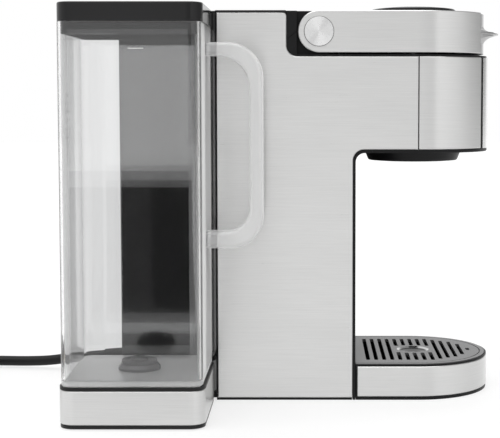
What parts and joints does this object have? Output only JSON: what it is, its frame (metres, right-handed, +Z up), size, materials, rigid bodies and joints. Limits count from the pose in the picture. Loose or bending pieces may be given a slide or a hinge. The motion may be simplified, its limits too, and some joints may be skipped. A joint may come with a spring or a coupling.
{
  "type": "pod coffee machine",
  "caption": "Single-serve pod coffee machine with a hinged lid, a drip tray, and a clear lift-off water tank on a base that swings out at the side.",
  "frame": {"origin": "on the counter, under the middle of the machine's bounding box, cord left out", "axes": "+Z up; -Y is the front, where the cup goes in; -X is the water reservoir's side"},
  "size_m": [0.2266, 0.5422, 0.3114],
  "materials": {
    "brushed_steel": "satin stainless sheet, fine level grain",
    "black_plastic": "fine matt moulded surface",
    "gloss_black": "smooth and shiny",
    "polished_steel": "bright, faintly satin sheet",
    "turned_steel": "turned, with fans of light",
    "satin_grey": "satin grey metal",
    "reservoir_deck": "moulded, black, with a grey deck under the tank",
    "inner_plastic": "plain moulded",
    "grille_grey": "smooth satin grey",
    "housing_black": "polished like piano lacquer",
    "clear_handle": "clear moulded plastic, a little whiter than the tank",
    "clear_tank": "clear moulded plastic",
    "valve_grey": "moulded",
    "valve_white": "moulded",
    "bright_steel": "polished stainless",
    "heater_steel": "drawn stainless",
    "pump_metal": "cast and turned",
    "silicone": "soft silicone",
    "circuit_board": "board with parts",
    "nozzle_black": "moulded",
    "foot_rubber": "soft matt rubber",
    "key_brew": "satin silver",
    "key_small": "smooth dark",
    "cord_black": "smooth cord jacket",
    "blade_brass": "plated"
  },
  "bodies": {
    "body": {"base_plate": "black_plastic", "base_feet": "foot_rubber", "swing_post": "bright_steel", "column_frame": "inner_plastic", "left_side_panel": "brushed_steel", "right_side_panel": "brushed_steel", "column_front_cover": "black_plastic", "rear_housing": "housing_black", "rear_cover": "housing_black", "cover_screws": "bright_steel", "top_panel": "gloss_black", "hinge_block": "inner_plastic", "head_frame": "inner_plastic", "head_band_left": "brushed_steel", "head_band_right": "brushed_steel", "head_front_panel": "polished_steel", "head_underside_cover": "black_plastic", "outlet_shroud": "black_plastic", "coffee_outlet": "nozzle_black", "pod_holder": "inner_plastic", "exit_needle": "bright_steel", "heater_tank": "heater_steel", "pump": "pump_metal", "feed_hose": "silicone", "hot_hose": "silicone", "control_board": "circuit_board", "cord_gland": "cord_black", "power_cord": "cord_black", "cord_coil": "cord_black", "cord_tie": "cord_black", "power_plug": "black_plastic", "plug_blades": "blade_brass"},
    "lid": {"lid_band": "brushed_steel", "lid_shell": "black_plastic", "pivot_pins": "turned_steel", "lid_front_trim": "satin_grey", "lid_lip": "satin_grey", "control_disc": "gloss_black", "needle_housing": "black_plastic", "lid_gasket": "silicone", "inlet_needle": "bright_steel"},
    "brew_key": {"brew_button": "key_brew"},
    "power_key": {"power_button": "key_small"},
    "small_key": {"small_button": "key_small"},
    "medium_key": {"medium_button": "key_small"},
    "large_key": {"large_button": "key_small"},
    "tray": {"tray_basin": "black_plastic", "tray_band": "brushed_steel"},
    "grille": {"tray_grille": "grille_grey"},
    "reservoir_base": {"reservoir_base": "reservoir_deck", "reservoir_base_band": "brushed_steel", "reservoir_bottom": "black_plastic", "reservoir_feet": "foot_rubber", "inlet_socket": "black_plastic"},
    "tank": {"tank": "clear_tank", "tank_handle": "clear_handle", "tank_valve": "valve_grey", "tank_filter": "valve_grey", "valve_poppet": "valve_white"},
    "tank_lid": {"tank_lid": "gloss_black"}
  },
  "joints": [
    {"name": "lid_hinge", "type": "hinge", "parent": "body", "child": "lid", "pos_m": [0.0458, -0.0203, 0.2888], "axis": [-1, 0, 0], "range_deg": [0, 65]},
    {"name": "brew_press", "type": "slide", "parent": "lid", "child": "brew_key", "axis": [0, 0, -1], "range_m": [0, 0.001], "stiffness_N_per_m": 900, "springref_m": -0.0005},
    {"name": "power_press", "type": "slide", "parent": "lid", "child": "power_key", "axis": [0, 0, -1], "range_m": [0, 0.001], "stiffness_N_per_m": 900, "springref_m": -0.0005},
    {"name": "small_press", "type": "slide", "parent": "lid", "child": "small_key", "axis": [0, 0, -1], "range_m": [0, 0.001], "stiffness_N_per_m": 900, "springref_m": -0.0005},
    {"name": "medium_press", "type": "slide", "parent": "lid", "child": "medium_key", "axis": [0, 0, -1], "range_m": [0, 0.001], "stiffness_N_per_m": 900, "springref_m": -0.0005},
    {"name": "large_press", "type": "slide", "parent": "lid", "child": "large_key", "axis": [0, 0, -1], "range_m": [0, 0.001], "stiffness_N_per_m": 900, "springref_m": -0.0005},
    {"name": "tray_slide", "type": "slide", "parent": "body", "child": "tray", "axis": [0, -1, 0], "range_m": [0, 0.06]},
    {"name": "grille_lift", "type": "slide", "parent": "tray", "child": "grille", "axis": [0, 0, 1], "range_m": [0, 0.06]},
    {"name": "reservoir_swing", "type": "hinge", "parent": "body", "child": "reservoir_base", "pos_m": [-0.0172, 0.1453, 0.02], "axis": [0, 0, -1], "range_deg": [0, 90]},
    {"name": "tank_lift", "type": "slide", "parent": "reservoir_base", "child": "tank", "axis": [0, 0, 1], "range_m": [0, 0.08]},
    {"name": "tank_lid_lift", "type": "slide", "parent": "tank", "child": "tank_lid", "axis": [0, 0, 1], "range_m": [0, 0.04]}
  ]
}
